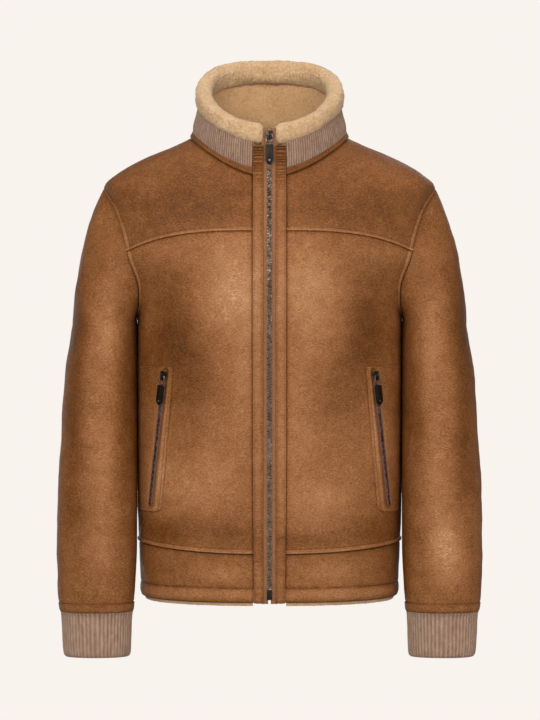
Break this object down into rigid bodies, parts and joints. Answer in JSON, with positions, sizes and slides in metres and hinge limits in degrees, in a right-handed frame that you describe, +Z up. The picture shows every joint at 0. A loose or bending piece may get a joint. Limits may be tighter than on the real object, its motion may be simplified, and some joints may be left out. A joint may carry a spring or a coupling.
{
  "type": "faux leather jacket",
  "caption": "Waist-length faux leather jacket, zipped up and hollow as worn, with a pile-topped knit stand collar, knit cuffs and slanted zip pockets.",
  "frame": {"origin": "on the centre line, at the height of the high points of the shoulders and midway between the front and the back of the neck, where the wearer's shoulders hold the jacket", "axes": "+X to the wearer's left, +Y towards the back, +Z up"},
  "size_m": [0.6034, 0.2601, 0.8588],
  "materials": {
    "leather": "mottled matt faux leather with a fine grain",
    "knit": "ribbed wool-like knit",
    "pile": "dense curly pile",
    "fleece": "short fleece",
    "tape": "woven zip tape",
    "metal": "dark gunmetal"
  },
  "bodies": {
    "jacket": {"front_left": "leather", "front_right": "leather", "yoke_left": "leather", "yoke_right": "leather", "back": "leather", "hem_band_left": "leather", "hem_band_right": "leather", "hem_band_back": "leather", "placket_left": "leather", "placket_right": "leather", "neck_band": "leather", "sleeve_left": "leather", "sleeve_right": "leather", "pocket_patch_left": "leather", "pocket_patch_right": "leather", "collar_knit": "knit", "cuff_left": "knit", "cuff_right": "knit", "collar_roll": "pile", "hem_pile": "pile", "collar_lining": "fleece", "zip_tape_left": "tape", "zip_tape_right": "tape", "pocket_zip_left": "tape", "pocket_zip_right": "tape", "zip_chain": "metal", "zip_box": "metal", "zip_slider": "metal", "pocket_slider_left": "metal", "pocket_slider_right": "metal"},
    "front_pull": {"zip_pull": "metal"},
    "left_pocket_pull": {"pocket_pull_left": "metal"},
    "right_pocket_pull": {"pocket_pull_right": "metal"}
  },
  "joints": [
    {"name": "front_pull_swing", "type": "hinge", "parent": "jacket", "child": "front_pull", "pos_m": [0, -0.09953, -0.00588], "axis": [-1, 0, 0], "range_deg": [0, 165]},
    {"name": "left_pocket_pull_swing", "type": "hinge", "parent": "jacket", "child": "left_pocket_pull", "pos_m": [0.15012, -0.09818, -0.34209], "axis": [-0.7942, -0.5891, -0.1488], "range_deg": [0, 165]},
    {"name": "right_pocket_pull_swing", "type": "hinge", "parent": "jacket", "child": "right_pocket_pull", "pos_m": [-0.15007, -0.09815, -0.34206], "axis": [-0.7941, 0.5888, 0.1508], "range_deg": [0, 165]}
  ]
}
